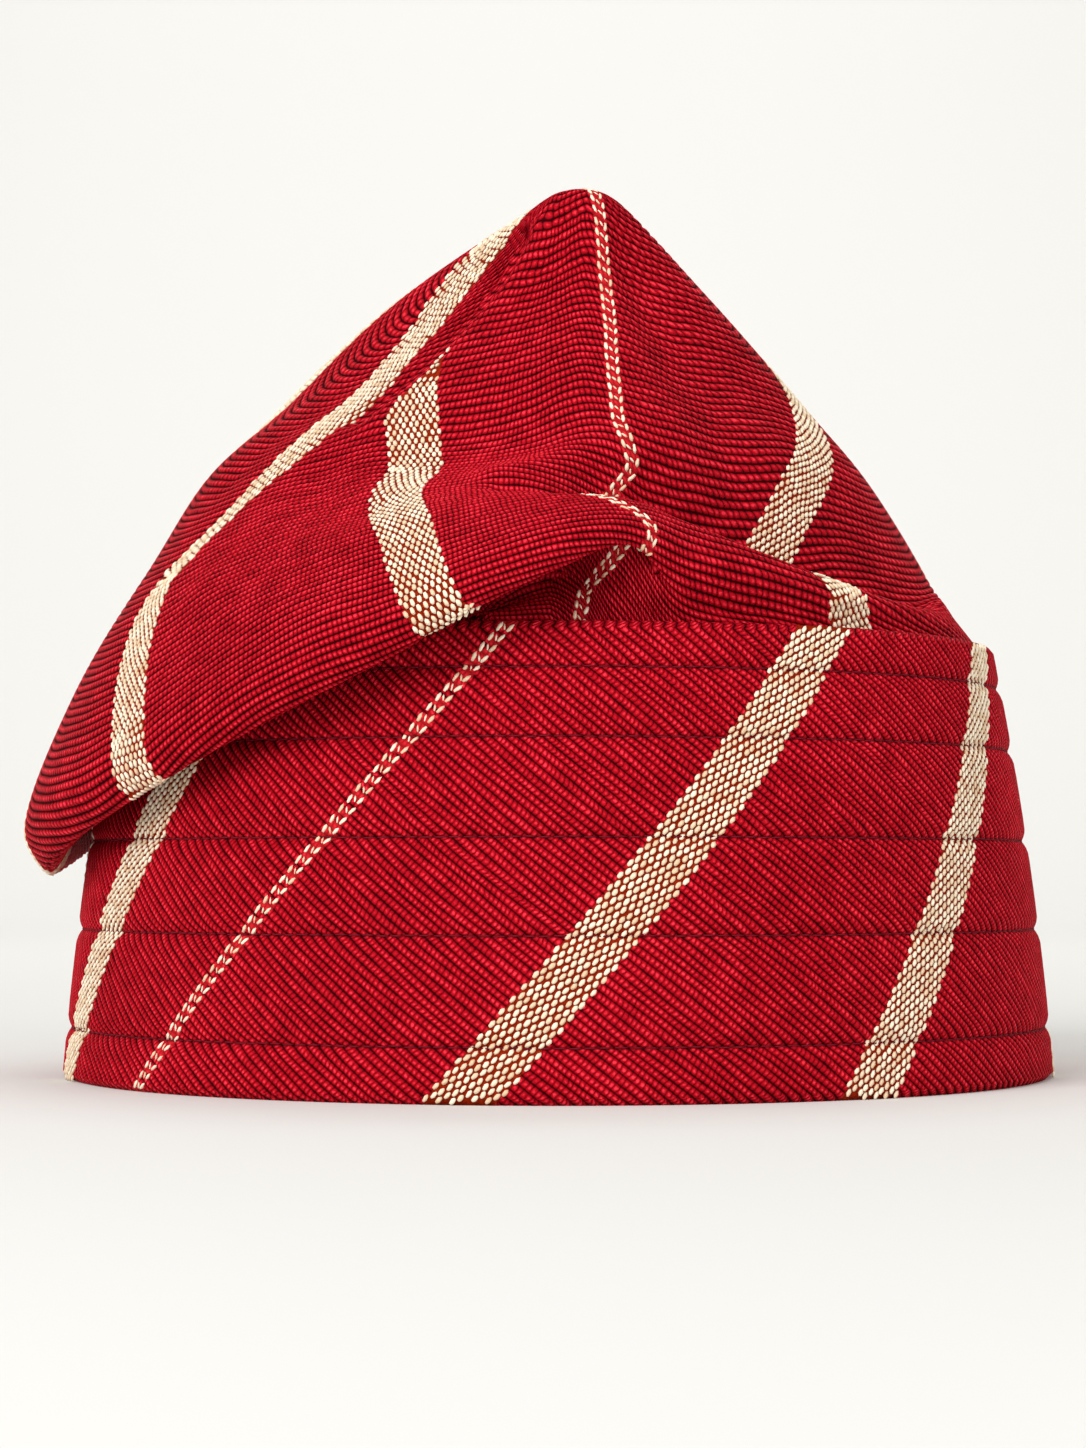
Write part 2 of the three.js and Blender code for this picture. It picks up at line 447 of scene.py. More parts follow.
# Lays an oval on each spot: its place, the way it runs, the way out of the cloth and its half sizes in mm
def layOvals(name, spots, material):
    bm = bmesh.new()
    for spot in spots:
        bm.verts.new(spot["at"])
    made = finishMesh(name, bm, [])
    given = made.data.attributes
    for field, kind in (("turn", "QUATERNION"), ("size", "FLOAT_VECTOR"), ("tint", "FLOAT")):
        given.new(field, kind, "POINT")
    for k, spot in enumerate(spots):
        out = spot["out"].normalized()
        side = out.cross(spot["along"]).normalized()
        ahead = side.cross(out)
        given["turn"].data[k].value = Matrix((ahead, side, out)).transposed().to_quaternion()
        given["size"].data[k].vector = Vector(spot["size"]) * mm
        given["tint"].data[k].value = spot["tint"]
    made.modifiers.new("ovals", "NODES").node_group = ovalNodes(name)
    depsgraph = bpy.context.evaluated_depsgraph_get()
    whole = bpy.data.meshes.new_from_object(made.evaluated_get(depsgraph))
    made.modifiers.clear()
    made.data = whole
    whole.name = name
    whole.materials.clear()
    whole.materials.append(material)
    print(name, len(spots), "ovals,", len(whole.polygons), "faces")
    return made


# Geometry nodes that put an oval on each point, turned and sized by the point's own values
def ovalNodes(name):
    group = bpy.data.node_groups.new(name, "GeometryNodeTree")
    for way in ("INPUT", "OUTPUT"):
        group.interface.new_socket("Geometry", in_out=way, socket_type="NodeSocketGeometry")
    make = group.nodes.new
    wire = group.links.new
    start = make("NodeGroupInput")
    end = make("NodeGroupOutput")
    oval = make("GeometryNodeMeshIcoSphere")
    oval.inputs["Subdivisions"].default_value = 1
    copies = make("GeometryNodeInstanceOnPoints")
    real = make("GeometryNodeRealizeInstances")
    smooth = make("GeometryNodeSetShadeSmooth")
    wire(start.outputs[0], copies.inputs["Points"])
    wire(oval.outputs["Mesh"], copies.inputs["Instance"])
    for field, kind, socket in (("turn", "QUATERNION", "Rotation"), ("size", "FLOAT_VECTOR", "Scale")):
        read = make("GeometryNodeInputNamedAttribute")
        read.data_type = kind
        read.inputs["Name"].default_value = field
        live = next(output for output in read.outputs if output.enabled)
        wire(live, copies.inputs[socket])
    wire(copies.outputs[0], real.inputs[0])
    wire(real.outputs[0], smooth.inputs["Geometry"])
    wire(smooth.outputs[0], end.inputs[0])
    return group


# Table helpers. A share runs from 0 to 1.
def mix(first, second, share):
    return first + (second - first) * share


def smoothMix(share, first, leave, last, arrive):
    return (
        (2 * share**3 - 3 * share**2 + 1) * first
        + (share**3 - 2 * share**2 + share) * leave
        + (3 * share**2 - 2 * share**3) * last
        + (share**3 - share**2) * arrive
    )


def byTable(rows, at):
    table = np.array(rows, float)
    return np.interp(at, table[:, 0], table[:, 1])


# Smooth columns by azimuth, which close on themselves after a full turn
def aroundTable(rows, azimuths):
    table = np.array(rows, float)
    turn = np.concatenate([table[-2:, 0] - fullTurn, table[:, 0], table[:2, 0] + fullTurn])
    value = np.concatenate([table[-2:, 1:], table[:, 1:], table[:2, 1:]])
    slope = np.diff(value, axis=0) / np.diff(turn)[:, None]
    tangent = (slope[:-1] + slope[1:]) / 2
    at = np.mod(np.asarray(azimuths, float) - table[0, 0], fullTurn) + table[0, 0]
    k = np.searchsorted(turn, at, side="right") - 1
    step = (turn[k + 1] - turn[k])[:, None]
    share = (at - turn[k])[:, None] / step
    return smoothMix(share, value[k], tangent[k - 1] * step, value[k + 1], tangent[k] * step)


# An azimuth between minus and plus half a turn
def signedTurn(azimuth):
    return np.mod(azimuth + halfTurn, fullTurn) - halfTurn


# How a rib strays: waves of [times round, radians to a mm or a rib down, size]
def ribStray(azimuth, down, waves):
    turn = np.radians(azimuth)
    return sum(size * np.sin(turn * times + down * slope) for times, slope, size in waves)


# How far the ribs stand out from the cloth's mean face; under a stripe they sink to a flat ground
def ribLift(ribs, stripe):
    profile = np.abs(np.sin(np.pi * ribs)) ** cloth["ribRound"]
    plain = np.clip((stripe - cloth["stripeHalf"]) / cloth["ribsBack"], 0, 1)
    return (profile * plain - 0.5) * cloth["ribRise"]


mergeWithin = 0.002  # mm, at the seam and the peak


# Makes a cloth from a plain grid, with the last column on the first. Along holds mm along a rib at the
# upper and lower edge of each row of faces, and ribs holds the ribs counted at each point.
def weaveGrid(name, points, along, ribs, fields, material, rowsRunDown):
    rows, columns = points.shape[:2]
    bm = bmesh.new()
    bmesh.ops.create_grid(bm, x_segments=columns - 1, y_segments=rows - 1, size=1)
    for field in fields:
        bm.verts.layers.float.new(field)
    layers = [bm.verts.layers.float[field] for field in fields]
    bm.verts.ensure_lookup_table()
    places = points.reshape(-1, 3) * mm + np.array(ringAxis)
    values = np.stack([field.reshape(-1) for field in fields.values()], axis=1)
    for vert, place, row in zip(bm.verts, places, values):
        vert.co = place
        for layer, value in zip(layers, row):
            vert[layer] = value
    bm.verts.index_update()
    uvLayer = bm.loops.layers.uv.new("weave")
    for face in bm.faces:
        first = min(loop.vert.index for loop in face.loops) // columns
        for loop in face.loops:
            row, column = divmod(loop.vert.index, columns)
            loop[uvLayer].uv = (along[first, row - first, column], ribs[row, column])
    bmesh.ops.remove_doubles(bm, verts=bm.verts, dist=mergeWithin * mm)
    if rowsRunDown:
        bmesh.ops.reverse_faces(bm, faces=bm.faces)  # so that they point outwards
    return finishMesh(name, bm, [material])


# Band: upright, with rows of quilting, and ribs that run down to the right across it. Sizes are in mm.
band = dict(
    height=(bandHigh.z - bandLow.z) / mm,
    rimReach=(bandHigh.x - bandLow.x) / 2 / mm,
    depthRatio=(bandHigh.y - bandLow.y) / (bandHigh.x - bandLow.x),
    midReach=88.9,
    topReach=82.2,
    wall=2.6,
    topCorner=(0.3, 0.45),  # down and in, where the top edge is rounded off
    hemTurn=2.4,
    hemRound=0.7,  # of the hem's turn, at its corners
    edgeRound=1.2,
    ribAngle=38,
    hollowShadeFrom=0.06,  # how deep in the hollows the painted shade turns the cloth dark
    seamShade=0.85,  # how dark the painted shade is in a row of quilting
    twist=0.0,  # how far the beads shift from one rib to the next, in beads
    waver=0.11,  # degrees that a rib strays
    waves=[[29, 0.31, 1], [47, -0.17, 1]],
    ribsAround=250,
    rowsPerRib=3,
    rowStep=2.6,
    insideRows=14,
    seamAt=180,  # the azimuth where the weave closes on itself
)
bandDegree = math.radians(band["midReach"] * (1 + band["depthRatio"]) / 2)  # mm to a degree, half way up
quilting = dict(
    heights=[9.3, 27.5, 43.8, 60.5, 72.2],
    depth=1.0,
    reach=3.2,
    sharp=2.5,  # over 1, a row is narrow at its bottom
    near=[0, 0.3, 0.7, 1.3, 2.2],  # where the grid has more rows beside each
)
# Stripes up the band: azimuth at the rim, and the slant in degrees
bandStripes = dict(
    wide=[[-75, 54.5], [-10.5, 48.5], [33.5, 54.5], [83, 52], [131, 51], [179, 50], [230, 51]],
    chain=[[-52, 47], [107, 50], [257, 52]],
    seed=11,
    before=8,  # mm of stripe laid out below the rim, so that its slanted end is full
    lowest=0.6,
    belowTop=0.5,
    probe=0.4,  # mm to each side, to find the way that the cloth lies
    probeUp=0.6,
)


def bandReach(height):
    share = np.asarray(height, float) / band["height"]
    middle = 2 * band["midReach"] - (band["rimReach"] + band["topReach"]) / 2
    rim = (1 - share) ** 2 * band["rimReach"]
    return rim + 2 * share * (1 - share) * middle + share**2 * band["topReach"]


def quiltingDip(height):
    dip = np.zeros_like(height)
    for row in quilting["heights"]:
        off = np.abs(height - row) / quilting["reach"]
        dip += quilting["depth"] * np.clip(1 - off, 0, 1) ** quilting["sharp"]
    return dip


def seamDistance(height):
    return np.min([np.abs(height - row) for row in quilting["heights"]], axis=0)


def aroundAxis(azimuth, reach, height):
    turn = np.radians(azimuth)
    aside = reach * np.sin(turn)
    back = -band["depthRatio"] * reach * np.cos(turn)
    return np.stack([aside, back, height + 0 * turn], axis=-1)


def bandStripeDistance(azimuth, height, stripes):
    best = np.full(np.shape(azimuth), farAway)
    for start, angle in stripes:
        lean = math.radians(angle)
        centre = start + height / math.tan(lean) / bandDegree
        off = signedTurn(azimuth - centre) * bandDegree * math.sin(lean)
        best = np.minimum(best, np.abs(off))
    return best


def bandFace(azimuth, height):
    return aroundAxis(azimuth, bandReach(height) - quiltingDip(height), height)


# Heights of the grid's rows on the outer face, closer together beside each row of quilting
def bandHeights():
    lowest = band["edgeRound"]
    highest = band["height"] - band["edgeRound"]
    rows = [*np.arange(lowest, highest, band["rowStep"]), highest]
    for row in quilting["heights"]:
        for off in quilting["near"]:
            rows += [row - off, row + off]
    return np.unique(np.round(rows, 2))


# Over the top edge, down inside and round the turned hem: rows of [height, mm in from the outer face]
def bandInside():
    top = band["height"]
    wall = band["wall"]
    hem = band["hemTurn"]
    down, setIn = band["topCorner"]
    hemCorner = wall + hem * band["hemRound"]
    path = [[top - down, setIn], [top, wall / 2], [top - down, wall - setIn]]
    for height in np.linspace(top - band["edgeRound"], hem + down, band["insideRows"] + 1):
        path.append([height, wall])
    path += [[hem, hemCorner], [hem / 2, wall + hem], [0, hemCorner], [0, band["edgeRound"]]]
    return np.array(path)


def makeBand():
    lean = math.radians(band["ribAngle"])
    columns = band["ribsAround"] * band["rowsPerRib"]
    heights = bandHeights()
    shear = heights / math.tan(lean) / bandDegree
    turns = band["seamAt"] + np.linspace(0, fullTurn, columns + 1)
    ribs = np.linspace(0, band["ribsAround"], columns + 1)
    level = np.repeat(heights[:, None], columns + 1, axis=1)
    stray = ribStray(turns[None, :], level, band["waves"])
    azimuth = turns[None, :] - shear[:, None] + band["waver"] * stray
    stripe = bandStripeDistance(azimuth, level, bandStripes["wide"])
    chain = bandStripeDistance(azimuth, level, bandStripes["chain"])
    reach = bandReach(level) - quiltingDip(level) + ribLift(ribs, stripe)
    outside = aroundAxis(azimuth, reach, level)

    # the ribs' lean is taken back on the way down inside
    down, sunk = bandInside().T
    leanBack = shear[-1] * np.clip(down / band["height"], 0, 1)
    azimuthIn = turns[None, :] - leanBack[:, None]
    levelIn = np.repeat(down[:, None], columns + 1, axis=1)
    inside = aroundAxis(azimuthIn, bandReach(levelIn) - sunk[:, None], levelIn)
    stripeIn = bandStripeDistance(azimuthIn, levelIn, bandStripes["wide"])
    chainIn = bandStripeDistance(azimuthIn, levelIn, bandStripes["chain"])
    seam = seamDistance(level)
    seamIn = np.full(levelIn.shape, farAway)

    points = np.concatenate([outside, inside, outside[:1]])
    run = np.linalg.norm(np.diff(points, axis=0), axis=2)
    run = np.concatenate([np.zeros((1, columns + 1)), -np.cumsum(run, axis=0)])
    beads = round(fullTurn * bandDegree * math.cos(lean) / cloth["beadPitch"])
    run = run + np.linspace(0, beads * cloth["beadPitch"], columns + 1)  # so beads stand square on a rib
    return weaveGrid(
        "band_cloth",
        points,
        np.stack([run[:-1], run[1:]], axis=1),
        np.repeat(ribs[None, :], len(points), axis=0),
        dict(
            stripe=np.concatenate([stripe, stripeIn, stripe[:1]]),
            chain=np.concatenate([chain, chainIn, chain[:1]]),
            seam=np.concatenate([seam, seamIn, seam[:1]]),
        ),
        redCloth("band_cloth", band),
        rowsRunDown=False,
    )


# A stripe's length, and its spots; a spot is mm round the band from the stripe's foot, and mm up
def bandStripeLine(stripe):
    start, angle = stripe
    lean = math.radians(angle)
    run = np.array([math.cos(lean), math.sin(lean)])
    cross = np.array([math.sin(lean), -math.cos(lean)])
    around = np.array([bandStripes["probe"], 0])
    upward = np.array([0, bandStripes["probeUp"]])
    highest = band["height"] - bandStripes["belowTop"]

    def onBand(spot):
        return bandFace(start + spot[0] / bandDegree, np.array(spot[1]))

    def across(spot, probe):
        return onBand(spot + probe) - onBand(spot - probe)

    def spotAt(way, aside):
        spot = run * (way - bandStripes["before"]) + cross * aside
        if not bandStripes["lowest"] < spot[1] < highest:
            return None
        along = across(spot, run * bandStripes["probe"])
        out = np.cross(across(spot, around), across(spot, upward))
        return onBand(spot), along, out

    return band["height"] / math.sin(lean) + 2 * bandStripes["before"], spotAt


# One stitch after another in each row of quilting
def bandStitches():
    rng = np.random.default_rng(thread["seed"])
    spots = []
    for row in quilting["heights"]:
        around = math.radians(fullTurn) * bandReach(row) * (1 + band["depthRatio"]) / 2
        count = int(around / thread["pitch"])
        for k in range(count):
            azimuth = fullTurn * k / count
            height = np.array(row + rng.normal(0, thread["stray"]))
            here = Vector(bandFace(azimuth, height)) * mm + ringAxis
            ahead = Vector(bandFace(azimuth + thread["lookAhead"], height)) * mm + ringAxis
            out = here - ringAxis
            out.z = 0
            at = here + out.normalized() * thread["lift"] * mm
            spots.append(dict(at=at, along=ahead - here, out=out, size=thread["size"], tint=thread["tint"]))
    return layOvals("band_stitches", spots, seamThread())


# Crown: by azimuth, reach and height of four points up the folded roll, then the reach at higher levels
crownSections = [
    # azimuth, hem, belly, crest, tuck, brow, face, shoulder
    [0, 90, 88, 92, 94, 82.5, 100.5, 67.5, 103, 47, 34.3, 15.6],
    [8, 86, 92, 87.5, 96.3, 79.5, 100.5, 64.5, 95.5, 48.5, 35, 16.5],
    [16, 79.4, 83.4, 83, 91, 77.5, 97, 60, 86.5, 49.6, 35.8, 17.3],
    [35, 79, 83, 80.2, 86, 76.6, 89.4, 61.5, 79, 46.5, 32.8, 16.3],
    [60, 78.4, 82.4, 77.6, 84, 74.8, 85.3, 67.5, 80, 48, 34, 18],
    [90, 76.6, 83.2, 74.6, 86, 72.4, 90.5, 70, 95, 55.5, 41.6, 23],
    [135, 77.6, 83.5, 77, 87, 76, 91, 73.5, 97, 65.5, 53, 31],
    [180, 77.6, 83.5, 77.2, 87, 76.2, 91, 73.5, 97, 68, 58.5, 37],
    [205, 81, 82.5, 83.5, 86.5, 81.5, 91, 76, 97, 69.5, 60.5, 38],
    [215, 85.5, 77, 89.3, 82, 86, 89.5, 77.8, 96.3, 70, 61, 38],
    [228, 90, 66, 94.5, 72.5, 89, 84, 79, 95, 70.3, 61.2, 38],
    [250, 94.5, 46, 98.5, 54, 91.3, 74, 80, 93.5, 69.5, 58.8, 36],
    [275, 95.8, 37.6, 100.5, 45.5, 92, 69.8, 78.8, 92.8, 65.5, 47.5, 24.5],
    [300, 95.5, 46, 99, 54, 90, 77, 79, 94, 58.5, 39, 18.5],
    [320, 93, 58, 96, 66, 87, 85, 76, 98.5, 53, 36.5, 17.2],
    [340, 93, 71.5, 95.5, 79, 84.5, 95, 71, 103.5, 45.3, 32.3, 14.7],
]
# The higher levels, with how much of the peak's lean each has
crownLevels = dict(
    brow=dict(height=113, lean=0.35),
    face=dict(height=126.5, lean=0.55),
    shoulder=dict(height=145, lean=0.8),
)
tip = dict(reach=6.3, below=2, lean=0.98)
# Places on the crown are counted in steps down from the peak: steps to the tuck and the hem, by azimuth
crownSteps = [
    [0, 43, 64], [8, 43.5, 60], [16, 44, 60], [35, 43.5, 54], [60, 44, 49], [90, 46, 53],
    [135, 58, 66], [180, 65, 72], [205, 65, 74], [215, 64, 77], [228, 62, 80], [250, 59, 84],
    [275, 53, 81], [300, 50, 78], [320, 48, 76], [340, 45, 71],
]
crown = dict(
    height=crownTop / mm,
    cloth=1.3,
    gap=0.3,
    footTop=0.95,  # of the band's height
    peakLean=(4, -32),
    perSpan=28,  # points on the curve between two points of a section
    spansToTuck=5,  # from the peak
    spansToHem=9,
    stepPitch=1.85,  # mm to a step, past the hem
    stepLadder=0.25,  # how finely steps are matched to ribs
    ribsDown=126,
    rowsPerRib=3,
    footRows=14,
    insideRows=36,
    seamAt=180,
    frontFrom=330,
    frontTo=410,
    frontStep=0.9,
    backStep=2.0,
    weaveStart=340,  # beads are measured from this azimuth
    beadGroup=6,  # ribs that share one measure
    # painted shade: how deep in the hollows the cloth turns dark
    hollowShadeFrom=0.2,
    seamShade=0.0,
    twist=-0.35,
    waver=0.07,  # mm that a rib strays
    waves=[[23, 0.9, 1], [41, -0.37, 0.7]],
    waverFrom=6,  # steps from the peak to where ribs stray fully
    peakFade=3,  # steps over which the ribs rise at the peak
    footFade=3,  # ribs over which they sink at the foot
)
# The weave lies askew on the crown: the first rib at the peak, and more ribs to a step, by azimuth
crownWeave = [
    [0, 17.4, 0.1], [14, 17.8, 0.16], [35, 16.2, 0.3], [60, 14, 0.37], [90, 13.5, 0.09], [120, 13, 0.16],
    [150, 12, 0.28], [180, 10, 0.35], [220, 5, 0.33], [250, 0.5, 0.3], [272, 0.5, 0.16], [288, 7, 0.02],
    [308, 16.2, -0.11], [331, 16.8, 0], [350, 17.2, 0.06],
]
ribsByStep = [[0, 0], [35, 33.3], [45, 44.5], [150, 175.8]]
# Beads are longer on the two sides: by how much, by azimuth
beadStretch = [
    [0, 1], [12, 1.1], [25, 1.5], [47, 1.9], [75, 2.2], [110, 1.6], [150, 1], [235, 1], [265, 1.9],
    [292, 1.7], [310, 1.25], [325, 1.15], [345, 1],
]
# Between the foot in the band and the hem: over the band's edge, under the roll's lip and round the fold
cuff = dict(reach=78.6, height=81)
lip = dict(reach=82.2, low=81.6, high=84.6, startsAt=79, fullAt=87, wayToHem=0.3)
fold = dict(radius=2.6, heelWay=0.5, toeWay=0.4)
# Under the roll's front end the cloth goes in to a deep pocket: how deep by azimuth
pocketDepth = [[-60, 0], [-14, 0], [-9, 1], [-1, 1], [3, 0.75], [6, 0.35], [10, 0], [60, 0], [180, 0]]
pocket = dict(reach=71.5, rise=1.0, heelIn=4.4, heelRise=6.0)


# The points of each section, from the foot in the band up to the peak
def crownPoints(azimuths):
    az = np.asarray(azimuths, float)
    sections = aroundTable(crownSections, az).T
    hemR, hemZ, bellyR, bellyZ, crestR, crestZ, tuckR, tuckZ, brow, face, shoulder = sections

    def at(reach, height, lean=0.0):
        spot = aroundAxis(az, reach + 0 * az, height + 0 * az)
        return spot + np.array([*crown["peakLean"], 0]) * lean

    def inBand(height):
        return at(bandReach(height) - band["wall"] - crown["gap"], height)

    share = np.clip((hemR - lip["startsAt"]) / (lip["fullAt"] - lip["startsAt"]), 0, 1)
    overhang = (share * share * (3 - 2 * share))[:, None]
    deep = byTable(pocketDepth, signedTurn(az))[:, None]
    hem = at(hemR, hemZ)
    belly = at(bellyR, bellyZ)
    cuffAt = at(cuff["reach"], cuff["height"])
    underLip = at(lip["reach"], np.clip(hemZ, lip["low"], lip["high"]))
    inPocket = at(pocket["reach"], np.maximum(hemZ + pocket["rise"], lip["low"]))
    lipAt = mix(mix(mix(cuffAt, hem, lip["wayToHem"]), underLip, overhang), inPocket, deep)
    heel = at(hemR - fold["radius"], hemZ + fold["radius"])
    heel = mix(heel, at(hemR - pocket["heelIn"], hemZ + pocket["heelRise"]), deep)
    toe = at(hemR + fold["radius"], hemZ + fold["radius"])
    points = [
        inBand(band["hemTurn"] + crown["gap"]),
        inBand(band["height"] / 2),
        inBand(band["height"] * crown["footTop"]),
        cuffAt,
        lipAt,
        mix(mix(lipAt, hem, fold["heelWay"]), heel, overhang),
        hem,
        mix(mix(hem, belly, fold["toeWay"]), toe, overhang),
        belly,
        at(crestR, crestZ),
        at(tuckR, tuckZ),
        at(brow, **crownLevels["brow"]),
        at(face, **crownLevels["face"]),
        at(shoulder, **crownLevels["shoulder"]),
        at(tip["reach"], crown["height"] - tip["below"], tip["lean"]),
        at(0, crown["height"], 1.0),
    ]
    return np.stack(points, axis=1)


# A smooth curve through each section's points, sampled evenly within each stretch
def smoothSections(points):
    ends = [2 * points[:, :1] - points[:, 1:2], points, 2 * points[:, -1:] - points[:, -2:-1]]
    p = np.concatenate(ends, axis=1)
    gap = np.sqrt(np.linalg.norm(np.diff(p, axis=1), axis=2))[:, :, None]
    gap = np.maximum(gap, tiny)
    slope = np.diff(p, axis=1) / gap
    wide = (p[:, 2:] - p[:, :-2]) / (gap[:, 1:] + gap[:, :-1])
    tangent = slope[:, :-1] - wide + slope[:, 1:]
    share = (np.arange(crown["perSpan"]) / crown["perSpan"])[None, None, :, None]
    leave = tangent[:, :-1, None] * gap[:, 1:-1, None]
    arrive = tangent[:, 1:, None] * gap[:, 1:-1, None]
    curve = smoothMix(share, points[:, :-1, None], leave, points[:, 1:, None], arrive)
    return np.concatenate([curve.reshape(len(points), -1, 3), points[:, -1:]], axis=1)


def lengthsFrom(path):
    steps = np.linalg.norm(np.diff(path, axis=0), axis=1)
    return np.concatenate([[0], np.cumsum(steps)])


def alongPath(path, lengths, at):
    return np.stack([np.interp(at, lengths, path[:, k]) for k in range(3)], axis=-1)


# Points set in by the cloth's thickness, for the crown's inner face
def insetPoints(points, curves):
    around = np.roll(points[:-1], -1, axis=0) - np.roll(points[:-1], 1, axis=0)
    around = np.concatenate([around, around[:1]])
    onCurve = np.arange(points.shape[1]) * crown["perSpan"]
    ahead = curves[:, np.minimum(onCurve + 1, curves.shape[1] - 1)]
    behind = curves[:, np.maximum(onCurve - 1, 0)]
    outward = np.cross(around, ahead - behind)
    outward /= np.maximum(np.linalg.norm(outward, axis=2, keepdims=True), tiny)
    inner = points - outward * crown["cloth"]
    inner[:, -1] = points[:, -1] - np.array([0, 0, crown["cloth"]])
    return inner


# Azimuths of the grid's columns, closer together at the front
def crownColumns():
    end = crown["seamAt"] + fullTurn
    left = np.arange(crown["seamAt"], crown["frontFrom"], crown["backStep"])
    front = np.arange(crown["frontFrom"], crown["frontTo"], crown["frontStep"])
    right = np.arange(crown["frontTo"], end, crown["backStep"])
    return np.concatenate([left, front, right, [end]])


def ribsAt(first, lean, steps):
    return first + lean * steps + byTable(ribsByStep, steps)


# One column from the peak down: its places, and the ribs and the steps counted at each
def crownColumn(curve, azimuth, stepCounts, weave, ribs):
    toTuck, toHem = stepCounts
    path = curve[::-1]
    lengths = lengthsFrom(path)
    tuckAt = lengths[crown["spansToTuck"] * crown["perSpan"]]
    hemAt = lengths[crown["spansToHem"] * crown["perSpan"]]
    past = toHem + (lengths[-1] - hemAt) / crown["stepPitch"]
    ladder = np.arange(0, ribsByStep[-1][0], crown["stepLadder"])
    steps = np.interp(ribs, ribsAt(*weave, ladder), ladder)
    rowsAt = np.interp(steps, [0, toTuck, toHem, past], [0, tuckAt, hemAt, lengths[-1]])
    stray = ribStray(azimuth, ribs, crown["waves"])
    rowsAt = rowsAt + crown["waver"] * stray * np.clip(steps / crown["waverFrom"], 0, 1)
    foot = np.linspace(rowsAt[-1], lengths[-1], crown["footRows"] + 1)[1:]
    places = alongPath(path, lengths, np.concatenate([rowsAt, foot]))
    below = foot - rowsAt[-1]
    allRibs = np.concatenate([ribs, ribs[-1] + below / cloth["ribPitch"]])
    allSteps = np.concatenate([steps, steps[-1] + below / crown["stepPitch"]])
    return places, allRibs, allSteps


# The crown's outer face as a grid: a few rows for each rib from the peak down, then rows to the foot
def crownGrid():
    columns = crownColumns()
    sections = crownPoints(columns)
    curves = smoothSections(sections)
    stepCounts = aroundTable(crownSteps, columns)
    weave = aroundTable(crownWeave, columns)
    ribs = np.linspace(0, crown["ribsDown"], crown["ribsDown"] * crown["rowsPerRib"] + 1)
    made = [crownColumn(*given, ribs) for given in zip(curves, columns, stepCounts, weave)]
    places, allRibs, allSteps = (np.stack(rows, axis=1) for rows in zip(*made))
    inside = []
    for curve in smoothSections(insetPoints(sections, curves)):
        lengths = lengthsFrom(curve)
        evenly = np.linspace(0, lengths[-1], crown["insideRows"] + 1)
        inside.append(alongPath(curve, lengths, evenly))
    print("crown grid", len(columns), "columns,", len(places), "rows outside")
    return dict(
        columns=columns,
        firstRib=weave[:, 0],
        ribLean=weave[:, 1],
        ribs=allRibs,
        steps=allSteps,
        points=places,
        inside=np.stack(inside, axis=1),
        ribRows=len(ribs),
    )


def outwardOf(points):
    around = np.gradient(points, axis=1)
    around[:, 0] = points[:, 1] - points[:, -2]
    around[:, -1] = around[:, 0]
    down = np.gradient(points, axis=0)
    out = np.cross(down, around)
    return out / np.maximum(np.linalg.norm(out, axis=2, keepdims=True), tiny)


def alongRibs(points, columns):
    steps = np.linalg.norm(np.diff(points, axis=1), axis=2)
    steps = steps / aroundTable(beadStretch, (columns[:-1] + columns[1:]) / 2)[:, 0]
    along = np.concatenate([np.zeros((len(points), 1)), np.cumsum(steps, axis=1)], axis=1)
    start = np.argmin(np.abs(columns - crown["weaveStart"]))
    return along - along[:, start : start + 1]


# Stripes down the crown: azimuth by step. Share narrows a stripe, such as towards the gathered peak, and a
# stripe that the ridge's fold hides starts to the right of an azimuth.
fullWidth = [[0, 1], [1, 1]]
gathered = [[7, 0.3], [22, 1]]
crownStripes = dict(
    wide=[
        dict(
            path=[
                [5, -100], [8.6, -89], [13.9, -81], [18, -74], [22, -69], [26, -63.5], [31, -60],
                [35, -58], [40.5, -57.3], [45.5, -56], [50, -57], [52, -59], [56, -58], [61, -55.5],
                [67, -52], [71, -50], [76, -49], [84, -49],
            ],
            share=[[5, 0.5], [9, 1], [30, 1], [44, 0.5], [48, 0.5], [57, 1]],
        ),
        dict(
            path=[
                [22, -52], [27.4, -44.3], [33.4, -35], [39, -26.6], [45, -23.4], [55, -17.6], [63, -14],
                [67, -12], [71, -11],
            ],
            share=fullWidth,
            rightOf=-44.5,
        ),
        dict(
            path=[
                [6, 160], [14, 147], [20, 130], [23.5, 114], [26, 97], [27.7, 81], [29.4, 64],
                [31.2, 53.4], [34.6, 44.7], [38, 37.5], [44, 36], [49, 36.5], [52, 39], [58, 42],
            ],
            share=[[6, 0.3], [20, 1]],
        ),
        dict(
            path=[[7, 168], [14, 158], [22, 145], [30, 128], [40, 107], [50, 94], [60, 91]],
            share=[[7, 0.3], [24, 1]],
        ),
        dict(path=[[7, 180], [14, 173], [24, 162], [36, 151], [50, 142], [74, 138]], share=gathered),
        dict(path=[[7, 194], [22, 191], [50, 187], [80, 185]], share=gathered),
        dict(path=[[7, 213], [30, 220], [84, 228]], share=gathered),
        dict(
            path=[[7, 238], [22, 247.5], [32, 258.5], [42, 265.5], [52, 270], [63, 273], [86, 278]],
            share=gathered,
        ),
    ],
    chain=[
        dict(
            path=[
                [1.5, 30], [4, 24], [9, 18.5], [15, 15.3], [22, 12.1], [30, 10.8], [34, 13], [39, 8],
                [45, 3.5], [51, 3], [54, 6], [57, 10.4], [60, 9.4], [64, 7.6], [68, 6], [72, 4.4],
                [76, 3], [82, 2],
            ],
            share=fullWidth,
        ),
        dict(path=[[8, 187], [24, 176], [45, 166], [76, 162]], share=fullWidth),
        dict(path=[[8, 225], [30, 238], [86, 251]], share=fullWidth),
    ],
    seed=23,
)
